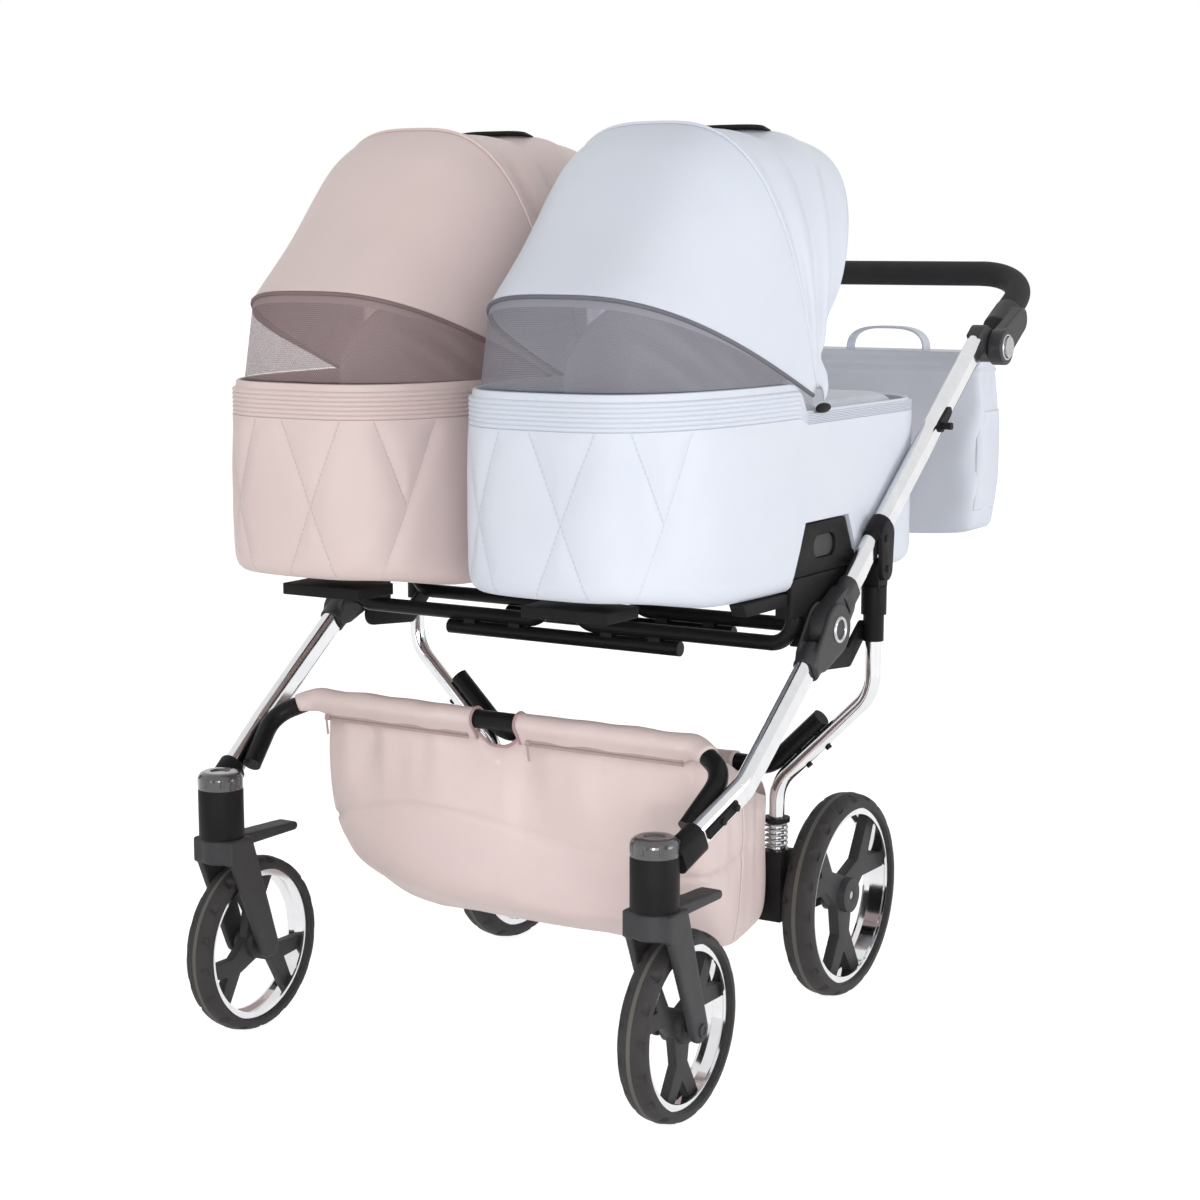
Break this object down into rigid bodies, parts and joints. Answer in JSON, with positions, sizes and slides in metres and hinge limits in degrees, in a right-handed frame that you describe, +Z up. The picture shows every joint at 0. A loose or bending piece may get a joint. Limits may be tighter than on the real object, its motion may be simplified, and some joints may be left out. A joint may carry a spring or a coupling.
{
  "type": "twin pram",
  "caption": "Side-by-side twin pram with a chrome folding frame, lift-off carrycots, mesh-fronted hoods, a shopping basket, a changing bag and swivelling front wheels.",
  "frame": {"origin": "on the ground under the middle of the pram's length and width", "axes": "+Z up, -Y the way the pram rolls, +X the left hand of the person pushing"},
  "size_m": [0.8284, 1.2428, 1.226],
  "materials": {
    "chrome": "bright chrome plating",
    "black_plastic": "matt moulded",
    "black_tube": "satin powder coat",
    "grey_metal": "satin grey",
    "smoky_cap": "smoky grey",
    "steel": "plain steel",
    "grip_leather": "padded black",
    "tyre": "soft black rubber",
    "pink": "satin soft touch",
    "blue": "satin soft touch",
    "net": "fine insect net"
  },
  "bodies": {
    "chassis": {"front_legs": "chrome", "head_tubes": "black_plastic", "head_caps": "smoky_cap", "fold_hubs": "black_plastic", "saddle_tubes": "black_tube", "joining_tubes": "black_tube", "adapter_bases": "black_plastic", "rear_leg_links": "grey_metal", "basket_hoop": "black_tube", "hoop_clamps": "black_plastic", "basket": "pink"},
    "pusher": {"pusher_tubes": "chrome", "fold_knuckles": "black_plastic", "pusher_caps": "black_plastic", "upper_brackets": "black_plastic", "accessory_pegs": "black_plastic", "bag": "blue"},
    "handle": {"handle_grip": "grip_leather", "handle_knuckles": "black_plastic"},
    "handle_button_left": {"handle_button_left": "chrome"},
    "handle_button_right": {"handle_button_right": "chrome"},
    "rear_frame": {"rear_legs": "chrome", "rear_leg_fittings": "black_plastic", "basket_rear_hoop": "black_tube", "rear_springs": "steel"},
    "axle": {"rear_axle": "steel", "suspension_housings": "black_plastic"},
    "brake": {"brake_pedal": "black_plastic"},
    "rear_wheel_left": {"rear_tyre_left": "tyre", "rear_rim_left": "chrome", "rear_spokes_left": "black_plastic"},
    "fork_left": {"front_fork_left": "black_plastic"},
    "lever_left": {"swivel_lever_left": "black_plastic"},
    "front_wheel_left": {"front_tyre_left": "tyre", "front_rim_left": "chrome", "front_spokes_left": "black_plastic"},
    "cot_left": {"cot_tub_left": "blue", "cot_apron_left": "blue", "cot_base_left": "black_plastic", "hood_rear_left": "blue", "hood_handle_left": "black_plastic"},
    "hood_left": {"hood_front_left": "blue", "hood_mesh_left": "net"},
    "cot_button_left": {"cot_button_left": "black_plastic"},
    "rear_wheel_right": {"rear_tyre_right": "tyre", "rear_rim_right": "chrome", "rear_spokes_right": "black_plastic"},
    "fork_right": {"front_fork_right": "black_plastic"},
    "lever_right": {"swivel_lever_right": "black_plastic"},
    "front_wheel_right": {"front_tyre_right": "tyre", "front_rim_right": "chrome", "front_spokes_right": "black_plastic"},
    "cot_right": {"cot_tub_right": "pink", "cot_apron_right": "pink", "cot_base_right": "black_plastic", "hood_rear_right": "pink", "hood_handle_right": "black_plastic"},
    "hood_right": {"hood_front_right": "pink", "hood_mesh_right": "net"},
    "cot_button_right": {"cot_button_right": "black_plastic"}
  },
  "joints": [
    {"name": "fold", "type": "hinge", "parent": "chassis", "child": "pusher", "pos_m": [0, -0.1995, 0.57], "axis": [1, 0, 0], "range_deg": [0, 125]},
    {"name": "rear_fold", "type": "hinge", "parent": "chassis", "child": "rear_frame", "pos_m": [0, -0.0575, 0.548], "axis": [1, 0, 0], "range_deg": [-32, 0], "deforming": ["basket"]},
    {"name": "handle_tilt", "type": "hinge", "parent": "pusher", "child": "handle", "pos_m": [0, 0.30082, 0.91119], "axis": [1, 0, 0], "range_deg": [-20, 60]},
    {"name": "suspension", "type": "slide", "parent": "rear_frame", "child": "axle", "axis": [0, 0, 1], "range_m": [0, 0.012], "stiffness_N_per_m": 12000, "springref_m": -0.03, "deforming": ["rear_springs"]},
    {"name": "brake_press", "type": "hinge", "parent": "axle", "child": "brake", "pos_m": [0, 0.0545, 0.145], "axis": [-1, 0, 0], "range_deg": [0, 18]},
    {"name": "handle_button_left", "type": "slide", "parent": "handle", "child": "handle_button_left", "axis": [-1, 0, 0], "range_m": [0, 0.003], "stiffness_N_per_m": 800, "springref_m": -0.004},
    {"name": "rear_spin_left", "type": "hinge", "parent": "axle", "child": "rear_wheel_left", "pos_m": [0.278, 0.0545, 0.145], "axis": [1, 0, 0], "continuous": true},
    {"name": "swivel_left", "type": "hinge", "parent": "chassis", "child": "fork_left", "pos_m": [0.334, -0.5595, 0.3], "axis": [0, 0, 1], "continuous": true},
    {"name": "swivel_lock_left", "type": "hinge", "parent": "fork_left", "child": "lever_left", "pos_m": [0.334, -0.5235, 0.2686], "axis": [1, 0, 0], "range_deg": [0, 18]},
    {"name": "front_spin_left", "type": "hinge", "parent": "fork_left", "child": "front_wheel_left", "pos_m": [0.334, -0.5025, 0.119], "axis": [1, 0, 0], "continuous": true},
    {"name": "cot_lift_left", "type": "slide", "parent": "chassis", "child": "cot_left", "axis": [0, 0, 1], "range_m": [0, 0.2]},
    {"name": "hood_fold_left", "type": "hinge", "parent": "cot_left", "child": "hood_left", "pos_m": [0.186, -0.1955, 0.862], "axis": [-1, 0, 0], "range_deg": [0, 44], "deforming": ["hood_rear_left", "hood_handle_left"]},
    {"name": "cot_release_left", "type": "slide", "parent": "cot_left", "child": "cot_button_left", "axis": [-1, 0, 0], "range_m": [0, 0.003], "stiffness_N_per_m": 800, "springref_m": -0.004},
    {"name": "handle_button_right", "type": "slide", "parent": "handle", "child": "handle_button_right", "axis": [1, 0, 0], "range_m": [0, 0.003], "stiffness_N_per_m": 800, "springref_m": -0.004},
    {"name": "rear_spin_right", "type": "hinge", "parent": "axle", "child": "rear_wheel_right", "pos_m": [-0.278, 0.0545, 0.145], "axis": [1, 0, 0], "continuous": true},
    {"name": "swivel_right", "type": "hinge", "parent": "chassis", "child": "fork_right", "pos_m": [-0.334, -0.5595, 0.3], "axis": [0, 0, 1], "continuous": true},
    {"name": "swivel_lock_right", "type": "hinge", "parent": "fork_right", "child": "lever_right", "pos_m": [-0.334, -0.5235, 0.2686], "axis": [1, 0, 0], "range_deg": [0, 18]},
    {"name": "front_spin_right", "type": "hinge", "parent": "fork_right", "child": "front_wheel_right", "pos_m": [-0.334, -0.5025, 0.119], "axis": [1, 0, 0], "continuous": true},
    {"name": "cot_lift_right", "type": "slide", "parent": "chassis", "child": "cot_right", "axis": [0, 0, 1], "range_m": [0, 0.2]},
    {"name": "hood_fold_right", "type": "hinge", "parent": "cot_right", "child": "hood_right", "pos_m": [-0.186, -0.1955, 0.862], "axis": [-1, 0, 0], "range_deg": [0, 44], "deforming": ["hood_rear_right", "hood_handle_right"]},
    {"name": "cot_release_right", "type": "slide", "parent": "cot_right", "child": "cot_button_right", "axis": [1, 0, 0], "range_m": [0, 0.003], "stiffness_N_per_m": 800, "springref_m": -0.004}
  ],
  "couplings": [
    {"joint": "rear_fold", "follows": "fold", "ratio": -0.256}
  ]
}
